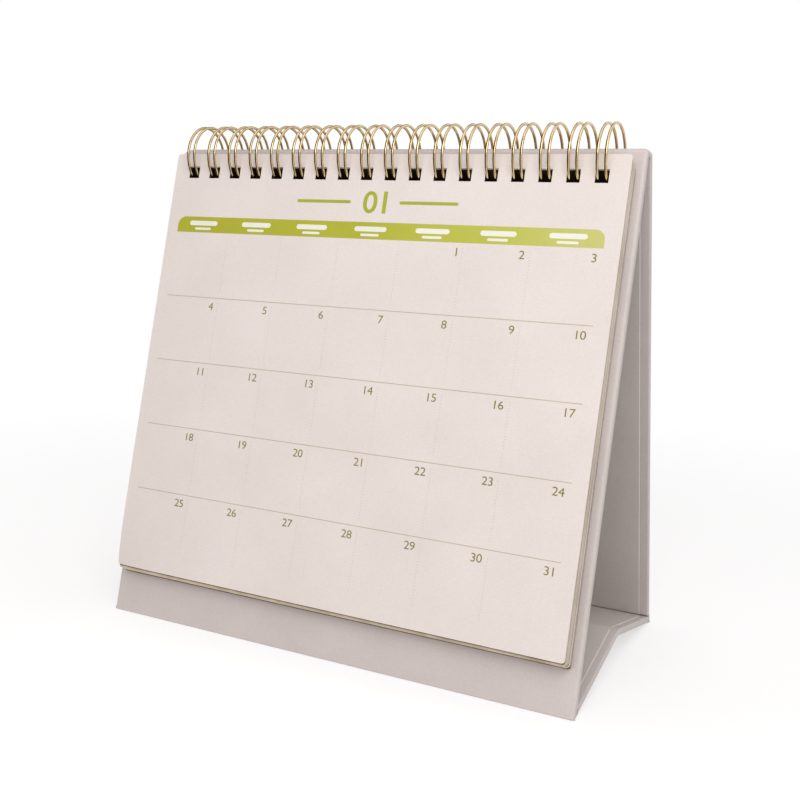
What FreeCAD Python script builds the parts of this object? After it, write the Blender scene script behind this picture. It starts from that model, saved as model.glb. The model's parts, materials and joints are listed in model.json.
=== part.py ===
"""Desk calendar: a folded, covered easel stand that carries a pad of leaves on twin wire loops.

The frame has +X to the right along the ridge, +Y towards the back and +Z up. The origin is on the
surface that the stand rests on, below the middle of the bounding box. All lengths are millimetres.
"""
import FreeCAD, Part
import math
import os
import Sketcher

Vector = FreeCAD.Vector
Rotation = FreeCAD.Rotation
X_AXIS = Vector(1, 0, 0)
Y_AXIS = Vector(0, 1, 0)
Z_AXIS = Vector(0, 0, 1)

# For the front, back, base front and base rear board: 1 where local Z points into the stand,
# otherwise -1, the gap beyond the board's far end that the turned-over paper bridges, and how
# much of that paper shows beside the lining.
BOARD_EDGES = (
    (-1, "ridge_gap", "border_width"),
    (1, "ridge_gap", "border_width"),
    (1, "crease_gap", "base_border_width"),
    (-1, "crease_gap", "base_border_width"),
)

# Driving dimensions: alias, value, meaning.
DIMENSIONS = (
    ("leaf_width", 160.0, "width of every leaf"),
    ("leaf_height", 143.0, "height of every leaf"),
    ("leaf_corner_radius", 0.9, "rounding of the leaf corners"),
    ("front_leaf_thickness", 0.35, "card of the leaf on show"),
    ("front_leaf_gap", 0.05, "air behind the leaf on show"),
    ("leaf_block_thickness", 4.1, "the leaves of the other months together"),
    ("back_leaf_gap", 0.25, "air in front of the backing leaf"),
    ("back_leaf_thickness", 0.35, "card of the backing leaf"),
    ("panel_gap", 0.7, "air between the backing leaf and the front panel"),
    ("leaf_drop", 2.4, "how much lower the back of the leaf block hangs than its front"),
    ("foot_margin", 16.4, "bare front panel below the leaves, along the slope"),
    ("side_margin", 2.6, "bare front panel at each side of the leaves"),
    ("ridge_margin", 2.3, "front panel above the leaves, up to the ridge"),
    ("lean", 14.2, "lean of the front and back panels from upright, degrees"),
    ("ridge_width", 6.0, "width of the ridge between the two panels' outer faces"),
    ("ridge_rise", 1.3, "height of the rounded ridge above the panels"),
    ("crease_height", 9.7, "height of the base's middle crease above the table"),
    ("foot_flat", 1.5, "flat of the wrap that rests on the table at each foot"),
    ("wrap_thickness", 0.3, "covering paper"),
    ("board_thickness", 1.8, "greyboard"),
    ("lining_step", 0.15, "how far the lining stands above the turned-in paper beside it"),
    ("border_width", 3.2, "turned-in paper that shows beside an upright panel's lining"),
    ("base_border_width", 2.6, "turned-in paper that shows beside the base's lining"),
    ("crease_gap", 1.8, "from the crease to the end of each base board"),
    ("ridge_gap", 0.6, "from the ridge shoulder to the top end of each upright board"),
    ("lining_ridge_gap", 1.0, "from the ridge shoulder to the top edge of each upright lining"),
    ("lining_inset", 0.3, "from an upright board's bottom end to the bottom edge of its lining"),
    ("base_lining_setback", 1.8, "from the base rear board's end to the base lining's edge"),
    ("fit_clearance", 0.2, "room between pieces that meet at a fold"),
    ("loop_pitch", 8.4667, "from one twin loop to the next"),
    ("twin_spacing", 2.5, "between the two wires of one loop"),
    ("loop_radius", 10.1, "loop, to the middle of the wire"),
    ("wire_diameter", 0.9, "binding wire"),
    ("loop_centre_rise", 0.76, "loop centre above the top edge of the front leaf, along the slope"),
    ("loop_centre_depth", 6.7, "loop centre behind the front leaf's face"),
    ("wire_bend", 0.8, "bend of the wire at the seam, to the middle of the wire"),
    ("seam_angle", 9.5, "near end of the seam, from down the slope towards the back, degrees"),
    ("seam_opening", 19.0, "open angle of each ring at its seam, degrees"),
    ("hole_size", 4.0, "square binding holes"),
    ("hole_lift", 0.4, "middle of the leaves' holes above the wire that passes the leaf on show"),
)

# Sizes that follow from the driving dimensions: name, expression.
DERIVED = (
    ("stand_width", "dims.leaf_width + 2 * dims.side_margin"),
    ("board_width", "stand_width - 2 * dims.wrap_thickness"),
    ("lining_width", "stand_width - 2 * dims.border_width"),
    ("base_lining_width", "stand_width - 2 * dims.base_border_width"),
    ("lining_thickness", "dims.wrap_thickness + dims.lining_step"),
    ("board_depth", "dims.wrap_thickness + dims.board_thickness"),
    ("panel_thickness", "board_depth + lining_thickness"),
    ("panel_length", "dims.foot_margin + dims.leaf_height + dims.ridge_margin"),
    ("half_depth", "panel_length * sin(dims.lean) + dims.ridge_width / 2"),
    ("shoulder_height", "panel_length * cos(dims.lean)"),
    ("foot_reach", "half_depth - dims.foot_flat"),
    ("base_slope", "atan(dims.crease_height / foot_reach)"),
    ("base_length", "sqrt(pow(foot_reach; 2) + pow(dims.crease_height; 2))"),
    ("slope_ratio", "cos(dims.lean) - sin(dims.lean) * tan(base_slope)"),
    ("upright_rise", "panel_thickness * sin(dims.lean)"
     " + (panel_thickness * cos(dims.lean) - dims.foot_flat) * tan(base_slope)"),
    ("front_board_start", "(upright_rise + dims.wrap_thickness / cos(base_slope)) / slope_ratio"),
    ("back_board_start", "(upright_rise + panel_thickness / cos(base_slope)) / slope_ratio"),
    ("base_ratio", "cos(base_slope) - sin(base_slope) * tan(dims.lean)"),
    ("base_reach", "panel_thickness * (sin(base_slope) + cos(base_slope) * tan(dims.lean))"
     " + dims.fit_clearance - dims.foot_flat"),
    ("base_front_start", "(base_reach + panel_thickness / cos(dims.lean)) / base_ratio"),
    ("base_rear_start", "max(dims.fit_clearance;"
     " (base_reach + dims.wrap_thickness / cos(dims.lean)) / base_ratio)"),
    ("upright_board_end", "panel_length - dims.ridge_gap"),
    ("lining_end", "panel_length - dims.lining_ridge_gap"),
    ("base_board_end", "base_length - dims.crease_gap"),
    ("front_lining_start", "back_board_start + dims.lining_inset"),
    ("back_lining_start", "back_board_start + dims.lining_inset"),
    ("leaf_block_depth", "dims.front_leaf_thickness + dims.front_leaf_gap + dims.leaf_block_thickness"),
    ("back_leaf_depth", "leaf_block_depth + dims.back_leaf_gap + dims.back_leaf_thickness"),
    ("pad_depth", "back_leaf_depth + dims.panel_gap"),
    ("middle_y", "max(0; pad_depth * cos(dims.lean) - dims.foot_margin * sin(dims.lean)) / 2"),
    ("front_foot_y", "middle_y - half_depth"),
    ("back_foot_y", "middle_y + half_depth"),
    ("loop_depth", "dims.loop_centre_depth - pad_depth"),
    ("loop_height", "dims.foot_margin + dims.leaf_height + dims.loop_centre_rise"),
    ("loop_y", "-half_depth + loop_height * sin(dims.lean) + loop_depth * cos(dims.lean)"),
    ("loop_z", "loop_height * cos(dims.lean) - loop_depth * sin(dims.lean)"),
    ("back_loop_height", "(half_depth - loop_y) * sin(dims.lean) + loop_z * cos(dims.lean)"),
    ("back_loop_depth", "(half_depth - loop_y) * cos(dims.lean) - loop_z * sin(dims.lean)"),
    ("front_hole_height", "loop_height"
     " - sqrt(pow(dims.loop_radius; 2) - pow(panel_thickness / 2 - loop_depth; 2))"),
    ("back_hole_height", "back_loop_height"
     " - sqrt(pow(dims.loop_radius; 2) - pow(back_loop_depth - panel_thickness / 2; 2))"),
    ("leaf_hole_height", "loop_height - dims.foot_margin + dims.hole_lift"
     " - sqrt(pow(dims.loop_radius; 2) - pow(dims.loop_centre_depth; 2))"),
    ("loop_count", "floor((dims.leaf_width - dims.hole_size) / dims.loop_pitch)"),
    ("loop_spread", "(loop_count - 1) * dims.loop_pitch"),
)


def add_dimensions(doc):
    """Spreadsheet with one aliased plain number for each driving dimension."""
    sheet = doc.addObject("Spreadsheet::Sheet", "dims")
    sheet.Label = "driving dimensions"
    for row, (alias, value, meaning) in enumerate(DIMENSIONS, start=1):
        sheet.set(f"A{row}", alias)
        sheet.set(f"B{row}", str(value))
        sheet.set(f"C{row}", meaning)
        sheet.setAlias(f"B{row}", alias)
    doc.recompute()
    return sheet


def add_derived(doc):
    """Variable set whose values are bound to the driving dimensions by expressions."""
    derived = doc.addObject("App::VarSet", "derived")
    for name, expression in DERIVED:
        derived.addProperty("App::PropertyFloat", name, "Derived")
        derived.setExpression(name, expression)
        doc.recompute()
    return derived


def origin_feature(body, role):
    """Plane or axis of a body's own origin, found by its role."""
    return next(item for item in body.Origin.OriginFeatures if item.Role == role)


def add_rectangle(sketch, centre_y, width, height):
    """Closed rectangle, symmetric about the sketch's vertical axis, with named bound sizes.

    centre_y is None where the rectangle stands on the sketch's horizontal axis.
    """
    start = 0 if centre_y is None else 1
    corners = [Vector(x, y, 0) for x, y in ((-1, start), (1, start), (1, start + 1), (-1, start + 1))]
    for index in range(4):
        sketch.addGeometry(Part.LineSegment(corners[index], corners[(index + 1) % 4]))
    for index in range(4):
        sketch.addConstraint(Sketcher.Constraint("Coincident", index, 2, (index + 1) % 4, 1))
    sketch.addConstraint(Sketcher.Constraint("Horizontal", 2))
    for index in (1, 3):
        sketch.addConstraint(Sketcher.Constraint("Vertical", index))
    sketch.addConstraint(Sketcher.Constraint("Symmetric", 0, 1, 0, 2, -2))
    bind_constraint(sketch, Sketcher.Constraint("DistanceX", 0, 1, 0, 2, 2.0), "width", width)
    bind_constraint(sketch, Sketcher.Constraint("DistanceY", 1, 1, 1, 2, 1.0), "height", height)
    if centre_y is None:
        sketch.addConstraint(Sketcher.Constraint("PointOnObject", 0, 1, -1))
    else:
        lower_edge = f"{centre_y} - ({height}) / 2"
        bind_constraint(sketch, Sketcher.Constraint("DistanceY", -1, 1, 0, 1, 1.0), "bottom", lower_edge)


def bind_constraint(sketch, constraint, name, expression):
    """Add a dimensional constraint, name it and bind it to an expression."""
    index = sketch.addConstraint(constraint)
    sketch.renameConstraint(index, name)
    sketch.setExpression(f"Constraints.{name}", expression)


def add_sketch(doc, body, name):
    """Sketch on the XY plane of the body's own origin."""
    sketch = body.newObject("Sketcher::SketchObject", name)
    sketch.AttachmentSupport = [(origin_feature(body, "XY_Plane"), "")]
    sketch.MapMode = "FlatFace"
    doc.recompute()
    return sketch


def bind_placement(item, angle, base_y, base_z):
    """Turn a piece about X by a bound angle and set it at a bound place."""
    item.Placement = FreeCAD.Placement(Vector(0, 0, 0), Rotation(X_AXIS, 90))
    item.setExpression("Placement.Rotation.Angle", angle)
    item.setExpression("Placement.Base.y", base_y)
    item.setExpression("Placement.Base.z", base_z)


def place_on_front(item, height, depth):
    """Stand a piece on the front panel: local Y runs up the slope and local Z points out of it."""
    base_y = f"derived.front_foot_y + ({height}) * sin(dims.lean) + ({depth}) * cos(dims.lean)"
    base_z = f"({height}) * cos(dims.lean) - ({depth}) * sin(dims.lean)"
    bind_placement(item, "90 - dims.lean", base_y, base_z)


def place_on_back(item, height, depth):
    """Stand a piece on the back panel: local Y runs up the slope and local Z points into the stand."""
    base_y = f"derived.back_foot_y - ({height}) * sin(dims.lean) - ({depth}) * cos(dims.lean)"
    base_z = f"({height}) * cos(dims.lean) - ({depth}) * sin(dims.lean)"
    bind_placement(item, "90 + dims.lean", base_y, base_z)


def place_on_base_front(item, distance, rise):
    """Lay a piece on the base's front half: local Y runs to the crease and local Z points up."""
    slope = "derived.base_slope"
    base_y = f"derived.middle_y - derived.foot_reach + ({distance}) * cos({slope}) - ({rise}) * sin({slope})"
    base_z = f"({distance}) * sin({slope}) + ({rise}) * cos({slope})"
    bind_placement(item, slope, base_y, base_z)


def place_on_base_rear(item, distance, rise):
    """Lay a piece on the base's rear half: local Y runs to the crease and local Z points down."""
    slope = "derived.base_slope"
    base_y = f"derived.middle_y + derived.foot_reach - ({distance}) * cos({slope}) + ({rise}) * sin({slope})"
    base_z = f"({distance}) * sin({slope}) + ({rise}) * cos({slope})"
    bind_placement(item, f"180 - {slope}", base_y, base_z)


def add_plate(doc, label, width, length, thickness):
    """Flat sheet or board, cut to a rectangle, as a PartDesign body."""
    body = doc.addObject("PartDesign::Body", f"{label}_body")
    body.Label = label
    outline = add_sketch(doc, body, f"{label}_outline")
    add_rectangle(outline, None, width, length)
    pad = body.newObject("PartDesign::Pad", f"{label}_pad")
    pad.Profile = outline
    pad.setExpression("Length", thickness)
    doc.recompute()
    return body


def slant(feature, drop, thickness):
    """Let a pad or pocket run along the line on which the leaves hang, not straight through."""
    feature.UseCustomVector = True
    feature.Direction = Vector(0, drop, thickness)
    feature.AlongSketchNormal = True


def round_corners(doc, body):
    """Round the four corners of a leaf or a block of leaves."""
    pad = body.Tip
    corners = [f"Edge{index}" for index, edge in enumerate(pad.Shape.Edges, start=1)
               if edge.Vertexes[0].Z != edge.Vertexes[-1].Z]
    fillet = body.newObject("PartDesign::Fillet", f"{body.Label}_corners")
    fillet.Base = (pad, corners)
    fillet.setExpression("Radius", "dims.leaf_corner_radius")
    doc.recompute()


def punch_holes(doc, body, centre_y, drop=0.0):
    """Row of square binding holes through a body, one for each twin loop."""
    before = body.Shape.Volume
    thickness = body.Tip.Shape.BoundBox.ZLength
    outline = add_sketch(doc, body, f"{body.Label}_hole")
    add_rectangle(outline, centre_y, "dims.hole_size", "dims.hole_size")
    pocket = body.newObject("PartDesign::Pocket", f"{body.Label}_pocket")
    pocket.Profile = outline
    pocket.Type = "Length"
    pocket.SideType = "Two sides"
    pocket.Length = 2 * thickness
    pocket.Length2 = 2 * thickness
    if drop:
        slant(pocket, drop, thickness)
    doc.recompute()
    row = body.newObject("PartDesign::LinearPattern", f"{body.Label}_holes")
    row.Originals = [pocket]
    row.Direction = (origin_feature(body, "X_Axis"), [""])
    row.Mode = "Spacing"
    row.setExpression("Offset", "dims.loop_pitch")
    row.setExpression("Occurrences", "derived.loop_count")
    body.Tip = row
    outline.AttachmentOffset = FreeCAD.Placement(Vector(0, 0, 0), Rotation())
    outline.setExpression("AttachmentOffset.Base.x", "-derived.loop_spread / 2")
    doc.recompute()
    if not body.Shape.Volume < before:
        raise RuntimeError(f"{body.Label}: the binding holes cut nothing")


def add_boards(doc):
    """Four greyboards: two upright ones, punched for the loops, and two in the folded base."""
    upright = "derived.upright_board_end - derived.{}_board_start"
    front = add_plate(doc, "front_board", "derived.board_width", upright.format("front"),
                      "dims.board_thickness")
    place_on_front(front, "derived.front_board_start", "derived.board_depth")
    punch_holes(doc, front, "derived.front_hole_height - derived.front_board_start")
    back = add_plate(doc, "back_board", "derived.board_width", upright.format("back"),
                     "dims.board_thickness")
    place_on_back(back, "derived.back_board_start", "dims.wrap_thickness")
    punch_holes(doc, back, "derived.back_hole_height - derived.back_board_start")
    base_front = add_plate(doc, "base_front_board", "derived.board_width",
                           "derived.base_board_end - derived.base_front_start", "dims.board_thickness")
    place_on_base_front(base_front, "derived.base_front_start", "dims.wrap_thickness")
    base_rear = add_plate(doc, "base_rear_board", "derived.board_width",
                          "derived.base_board_end - derived.base_rear_start", "dims.board_thickness")
    place_on_base_rear(base_rear, "derived.base_rear_start", "derived.board_depth")
    doc.recompute()
    return [front, back, base_front, base_rear]


def add_upright_linings(doc):
    """Lining sheets on the inner faces of the two upright panels."""
    length = "derived.lining_end - derived.{}_lining_start"
    front = add_plate(doc, "front_lining", "derived.lining_width", length.format("front"),
                      "derived.lining_thickness")
    place_on_front(front, "derived.front_lining_start", "derived.panel_thickness")
    punch_holes(doc, front, "derived.front_hole_height - derived.front_lining_start")
    back = add_plate(doc, "back_lining", "derived.lining_width", length.format("back"),
                     "derived.lining_thickness")
    place_on_back(back, "derived.back_lining_start", "derived.board_depth")
    punch_holes(doc, back, "derived.back_hole_height - derived.back_lining_start")
    return [front, back]


def add_leaves(doc, dims):
    """The leaf on show, the block of the other months' leaves and the backing leaf."""
    drop = dims("leaf_drop")
    leaves = (
        ("front_leaf", "dims.front_leaf_thickness", "0", "dims.front_leaf_thickness", 0.0),
        ("leaf_block", "dims.leaf_block_thickness", "dims.leaf_drop", "derived.leaf_block_depth", drop),
        ("back_leaf", "dims.back_leaf_thickness", "dims.leaf_drop", "derived.back_leaf_depth", 0.0),
    )
    bodies = []
    for label, thickness, lowered, depth, slanted in leaves:
        body = add_plate(doc, label, "dims.leaf_width", "dims.leaf_height", thickness)
        if slanted:
            slant(body.Tip, slanted, body.Tip.Length.Value)
            doc.recompute()
        round_corners(doc, body)
        place_on_front(body, f"dims.foot_margin - {lowered}", f"{depth} - derived.pad_depth")
        punch_holes(doc, body, "derived.leaf_hole_height", slanted)
        bodies.append(body)
    return bodies


def folded_outline(derived, dims):
    """Side outline of the folded stand, seen along X, as one closed face."""
    foot = derived.half_depth
    inner_foot = derived.foot_reach
    shoulder = dims("ridge_width") / 2
    height = derived.shoulder_height
    crease = Vector(0, 0, dims("crease_height"))
    front_foot, back_foot = Vector(0, -foot, 0), Vector(0, foot, 0)
    front_shoulder, back_shoulder = Vector(0, -shoulder, height), Vector(0, shoulder, height)
    ridge_top = Vector(0, 0, height + dims("ridge_rise"))
    edges = [
        Part.LineSegment(front_foot, front_shoulder).toShape(),
        Part.Arc(front_shoulder, ridge_top, back_shoulder).toShape(),
        Part.LineSegment(back_shoulder, back_foot).toShape(),
        Part.LineSegment(back_foot, Vector(0, inner_foot, 0)).toShape(),
        Part.LineSegment(Vector(0, inner_foot, 0), crease).toShape(),
        Part.LineSegment(crease, Vector(0, -inner_foot, 0)).toShape(),
        Part.LineSegment(Vector(0, -inner_foot, 0), front_foot).toShape(),
    ]
    return Part.Face(Part.Wire(edges))


def turned_edge(board, inner_side, gap, width, side, derived, dims):
    """Wrap paper turned over one end of a board and onto its inner face, and on over the gap beyond."""
    thickness = dims("wrap_thickness")
    reach = board.Group[0].Shape.BoundBox.YLength + gap
    low_z = -thickness if inner_side < 0 else 0
    cover_x = side * derived.board_width / 2 - (thickness if side < 0 else 0)
    cover = Part.makeBox(thickness, reach, dims("board_thickness") + thickness, Vector(cover_x, 0, low_z))
    border_x = side * derived.stand_width / 2 - (width if side > 0 else 0)
    border_z = dims("board_thickness") if inner_side > 0 else -thickness
    border = Part.makeBox(width, reach, thickness, Vector(border_x, 0, border_z))
    edge = cover.fuse(border)
    edge.Placement = board.Placement
    return edge


def add_wrap(doc, boards, derived, dims):
    """Covering paper: one sheet folded round all boards, turned over their ends and onto their insides."""
    outer = folded_outline(derived, dims)
    inner = outer.makeOffset2D(-dims("wrap_thickness"), 2)
    skin = outer.cut(inner).extrude(Vector(derived.stand_width, 0, 0))
    skin.translate(Vector(-derived.stand_width / 2, derived.middle_y, 0))
    edges = [turned_edge(board, inner_side, dims(gap), dims(width), side, derived, dims)
             for board, (inner_side, gap, width) in zip(boards, BOARD_EDGES) for side in (-1, 1)]
    edges += ridge_ends(outer, derived, dims)
    wrap = skin.fuse(edges).cut(wrap_holes(derived, dims)).removeSplitter()
    feature = doc.addObject("Part::Feature", "cover_wrap")
    feature.Label = "cover_wrap"
    feature.Shape = wrap.Solids[0]
    return feature


def ridge_ends(outline, derived, dims):
    """Wrap paper turned over both ends of the ridge, above the upright boards."""
    lean = math.radians(dims("lean"))
    low_z = derived.upright_board_end * math.cos(lean) - derived.board_depth * math.sin(lean)
    height = derived.shoulder_height + dims("ridge_rise") - low_z
    width, thickness = dims("ridge_width") + dims("board_thickness"), dims("wrap_thickness")
    window = Part.makeBox(thickness, width, height, Vector(0, -width / 2, low_z))
    end = outline.extrude(Vector(thickness, 0, 0)).common(window)
    ends = []
    for start_x in (-derived.stand_width / 2, derived.stand_width / 2 - thickness):
        piece = end.copy()
        piece.translate(Vector(start_x, derived.middle_y, 0))
        ends.append(piece)
    return ends


def wrap_holes(derived, dims):
    """Square cutters for the binding holes in the wrap of both upright panels."""
    size = dims("hole_size")
    reach = derived.panel_thickness
    cutters = []
    panels = (
        (derived.front_foot_y, 90 - dims("lean"), derived.front_hole_height),
        (derived.back_foot_y, 90 + dims("lean"), derived.back_hole_height),
    )
    for foot_y, angle, height in panels:
        place = FreeCAD.Placement(Vector(0, foot_y, 0), Rotation(X_AXIS, angle))
        for x_centre in loop_places(derived, dims):
            corner = Vector(x_centre - size / 2, height - size / 2, -reach)
            cutter = Part.makeBox(size, size, 2 * reach, corner)
            cutter.Placement = place
            cutters.append(cutter)
    return cutters


def add_base_lining(doc, derived, dims):
    """Lining sheet of the base, folded over its crease."""
    slope_line = Vector(0, derived.foot_reach, dims("crease_height")).normalize()
    up = Vector(0, -slope_line.z, slope_line.y)
    foot = Vector(0, -derived.foot_reach, 0)
    gap = dims("fit_clearance")
    start = (derived.base_front_start + gap, derived.base_rear_start + dims("base_lining_setback"))
    points = []
    for rise in (derived.board_depth, derived.panel_thickness):
        front_end = foot + slope_line * start[0] + up * rise
        crease = Vector(0, 0, dims("crease_height") + rise / up.z)
        rear_end = foot + slope_line * start[1] + up * rise
        rear_end.y = -rear_end.y
        row = [front_end, crease, rear_end]
        points.extend(row if not points else reversed(row))
    face = Part.Face(Part.makePolygon(points + [points[0]]))
    sheet = face.extrude(Vector(derived.base_lining_width, 0, 0))
    sheet.translate(Vector(-derived.base_lining_width / 2, derived.middle_y, 0))
    feature = doc.addObject("Part::Feature", "base_lining")
    feature.Label = "base_lining"
    feature.Shape = sheet
    return feature


def loop_places(derived, dims):
    """X of the middle of each twin loop."""
    start = -derived.loop_spread / 2
    return [start + index * dims("loop_pitch") for index in range(round(derived.loop_count))]


def add_ring(doc, name, place):
    """One wire ring of a twin loop, open at the seam, in the plane across X."""
    ring = doc.addObject("Part::Torus", name)
    ring.setExpression("Radius1", "dims.loop_radius")
    ring.setExpression("Radius2", "dims.wire_diameter / 2")
    ring.setExpression("Angle3", "360 - dims.seam_opening")
    ring.Placement = FreeCAD.Placement(Vector(0, 0, 0), Rotation(Y_AXIS, 90))
    ring.setExpression("Placement.Base.x", place)
    return ring


def add_rod(doc, name, place, length, shift):
    """Straight stretch of wire along X, set off along the loop by the wire's bend."""
    rod = doc.addObject("Part::Cylinder", name)
    rod.setExpression("Radius", "dims.wire_diameter / 2")
    rod.setExpression("Height", length)
    rod.Placement = FreeCAD.Placement(Vector(0, 0, 0), Rotation(Y_AXIS, 90))
    rod.setExpression("Placement.Base.x", place)
    rod.setExpression("Placement.Base.y", shift)
    rod.setExpression("Placement.Base.z", "-dims.loop_radius")
    return rod


def add_elbow(doc, name, place, turn):
    """Quarter bend of wire between the end of a ring and a straight stretch."""
    elbow = doc.addObject("Part::Torus", name)
    elbow.setExpression("Radius1", "dims.wire_bend")
    elbow.setExpression("Radius2", "dims.wire_diameter / 2")
    elbow.Angle3 = 90
    elbow.Placement = FreeCAD.Placement(Vector(0, 0, 0), turn)
    elbow.setExpression("Placement.Base.x", place)
    elbow.setExpression("Placement.Base.z", "-dims.loop_radius")
    return elbow


def add_links(doc, name, spans, shift, left_turn, right_turn, angle):
    """Wire stretches that join ring ends in pairs, turned to their angle round the loops."""
    pieces = []
    for index, (left, right) in enumerate(spans):
        length = f"({right}) - ({left}) - 2 * dims.wire_bend"
        start = f"{left} + dims.wire_bend"
        pieces.append(add_elbow(doc, f"{name}_left_{index}", start, left_turn))
        pieces.append(add_rod(doc, f"{name}_rod_{index}", start, length, shift))
        pieces.append(add_elbow(doc, f"{name}_right_{index}", f"{right} - dims.wire_bend", right_turn))
    links = doc.addObject("Part::MultiFuse", name)
    links.Shapes = pieces
    links.Placement = FreeCAD.Placement(Vector(0, 0, 0), Rotation(X_AXIS, 90))
    links.setExpression("Placement.Rotation.Angle", angle)
    return links


def add_binding_wire(doc, derived):
    """Twin-loop binding wire: pairs of rings, joined by tips and by bars on the two sides of the seam."""
    count = round(derived.loop_count)
    centres = [f"{index} * dims.loop_pitch - derived.loop_spread / 2" for index in range(count)]
    left = [f"{centre} - dims.twin_spacing / 2" for centre in centres]
    right = [f"{centre} + dims.twin_spacing / 2" for centre in centres]
    tip_angle = "270 + dims.seam_angle"
    bar_angle = f"{tip_angle} + dims.seam_opening"
    rings = doc.addObject("Part::MultiFuse", "rings")
    rings.Shapes = [add_ring(doc, f"ring_{index}", place) for index, place in enumerate(left + right)]
    rings.Placement = FreeCAD.Placement(Vector(0, 0, 0), Rotation(X_AXIS, 90))
    rings.setExpression("Placement.Rotation.Angle", bar_angle)
    tips = add_links(doc, "tips", list(zip(left, right)), "dims.wire_bend",
                     Rotation(Y_AXIS, 180), Rotation(), tip_angle)
    bars = add_links(doc, "bars", list(zip(right[:-1], left[1:])), "-dims.wire_bend",
                     Rotation(Z_AXIS, 180), Rotation(X_AXIS, 180), bar_angle)
    wire = doc.addObject("Part::MultiFuse", "binding_wire")
    wire.Label = "binding_wire"
    wire.Shapes = [rings, tips, bars]
    place_on_front(wire, "derived.loop_height", "derived.loop_depth")
    doc.recompute()
    return wire


def check_document(doc, parts):
    """Stop if any object failed or any sub-part is empty or not valid."""
    for item in doc.Objects:
        if "Invalid" in item.State or "Error" in item.State:
            raise RuntimeError(f"{item.Name} did not compute: {item.State}")
    for part in parts:
        if part.Shape.isNull() or not part.Shape.isValid():
            raise RuntimeError(f"{part.Label} has no valid shape")


def export_parts(parts):
    """One STEP file for each sub-part, named by its label."""
    os.makedirs("parts", exist_ok=True)
    for part in parts:
        part.Shape.exportStep(f"parts/{part.Label}.step")
        box = part.Shape.BoundBox
        print(f"{part.Label:18s} solids {len(part.Shape.Solids):2d}  volume {part.Shape.Volume:10.1f}  "
              f"x {box.XMin:7.2f} {box.XMax:7.2f}  y {box.YMin:7.2f} {box.YMax:7.2f}  "
              f"z {box.ZMin:7.2f} {box.ZMax:7.2f}")


def main():
    doc = FreeCAD.newDocument("desk_calendar")
    sheet = add_dimensions(doc)
    derived = add_derived(doc)

    def dims(alias):
        return float(sheet.get(alias))

    boards = add_boards(doc)
    parts = boards + [add_wrap(doc, boards, derived, dims)]
    parts += add_upright_linings(doc)
    parts.append(add_base_lining(doc, derived, dims))
    parts.append(add_binding_wire(doc, derived))
    parts += add_leaves(doc, dims)
    doc.recompute()
    check_document(doc, parts)
    export_parts(parts)


main()
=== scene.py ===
"""Desk calendar: a folded board stand, twin loops of wire, the month's leaf and the leaves behind it."""

import json
import math
import random
from typing import NamedTuple

import bmesh
import bpy
from mathutils import Matrix, Vector


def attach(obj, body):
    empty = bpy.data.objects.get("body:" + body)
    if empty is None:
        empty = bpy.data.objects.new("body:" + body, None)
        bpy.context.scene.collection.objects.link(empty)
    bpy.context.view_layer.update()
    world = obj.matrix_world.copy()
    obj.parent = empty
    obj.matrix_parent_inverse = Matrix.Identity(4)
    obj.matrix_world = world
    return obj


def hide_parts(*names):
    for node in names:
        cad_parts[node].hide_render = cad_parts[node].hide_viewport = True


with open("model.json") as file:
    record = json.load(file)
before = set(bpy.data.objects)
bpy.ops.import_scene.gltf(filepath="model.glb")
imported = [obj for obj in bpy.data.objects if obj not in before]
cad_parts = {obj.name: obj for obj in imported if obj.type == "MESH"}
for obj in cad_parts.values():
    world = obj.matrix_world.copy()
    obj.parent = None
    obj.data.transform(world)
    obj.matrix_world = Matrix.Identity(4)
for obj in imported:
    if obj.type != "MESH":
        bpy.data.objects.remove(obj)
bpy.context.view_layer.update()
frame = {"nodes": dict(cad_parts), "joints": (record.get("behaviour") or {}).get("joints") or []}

MM = 0.001

# Stand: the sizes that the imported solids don't give directly.
LEAN = math.radians(14.2)
RIDGE_WIDTH = 6.0 * MM
RIDGE_RISE = 1.3 * MM
CREASE_HEIGHT = 9.7 * MM
FOOT_FLAT = 1.5 * MM
BOARD_DEPTH = 2.1 * MM
PAPER = 0.3 * MM
BORDER = 3.2 * MM
BASE_BORDER = 2.6 * MM
OUTER_ROUNDING = (1.1 * MM, 0.8 * MM)
INNER_ROUNDING = (0.35 * MM, 0.35 * MM)
RIDGE_ROUNDING = (2.1 * MM, 1.5 * MM)
INNER_SHARE = 0.4
HEEL_RADIUS = 0.4 * MM
HEEL_CLEARANCE = 0.05 * MM
HINGE_DEPTH = 0.62 * MM
DIP_LENGTH = 0.7 * MM
CREASE_DIP = 0.35 * MM
FLAT_START = 0.12 * MM
CUT_EDGE = (0.16 * MM, 0.17 * MM)
HOLE = 4.0 * MM
TOLERANCE = 0.01 * MM

# Stand: into how many parts its round forms are divided.
HEEL_STEPS = 8
RIDGE_STEPS = 12
EDGE_STEPS = 6
CREASE_STEPS = 5
INNER_STEPS = 3
OUTER_STEPS = 6

# Binding: pitch of the loops, spacing of a loop's two wires, where they close, and their bends.
LOOP_PITCH = 25.4 / 3 * MM
LOOP_COUNT = 18
TWIN_SPACING = 2.5 * MM
WIRE_RADIUS = 0.43 * MM
WIRE_BEND = 0.9 * MM
WIRE_BEND_SHARE = 1.4
WIRE_BEND_STEPS = 4
RING_STEPS = 44
TIP_STEPS = 8
TIP_ANGLE = math.radians(9.5)
BAR_ANGLE = math.radians(28.5)
HOLE_LIFT = 0.4 * MM

# Leaves.
CORNER_RADIUS = 0.9 * MM
CORNER_STEPS = 6
LEAF_ROWS = 24
LEAF_SEED = 7
LEAF_GAP = 0.03 * MM
LEAF_SHIFT = 0.06 * MM
EDGE_STRIP = 1.0 * MM
FAN = 2.2 * MM
FAN_LEFT_SHARE = 0.1
FAN_CURVE = 1.4
BEND_REACH = 14 * MM
BEND_DEPTH = 0.9 * MM
BEND_CURVE = 1.5

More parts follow.
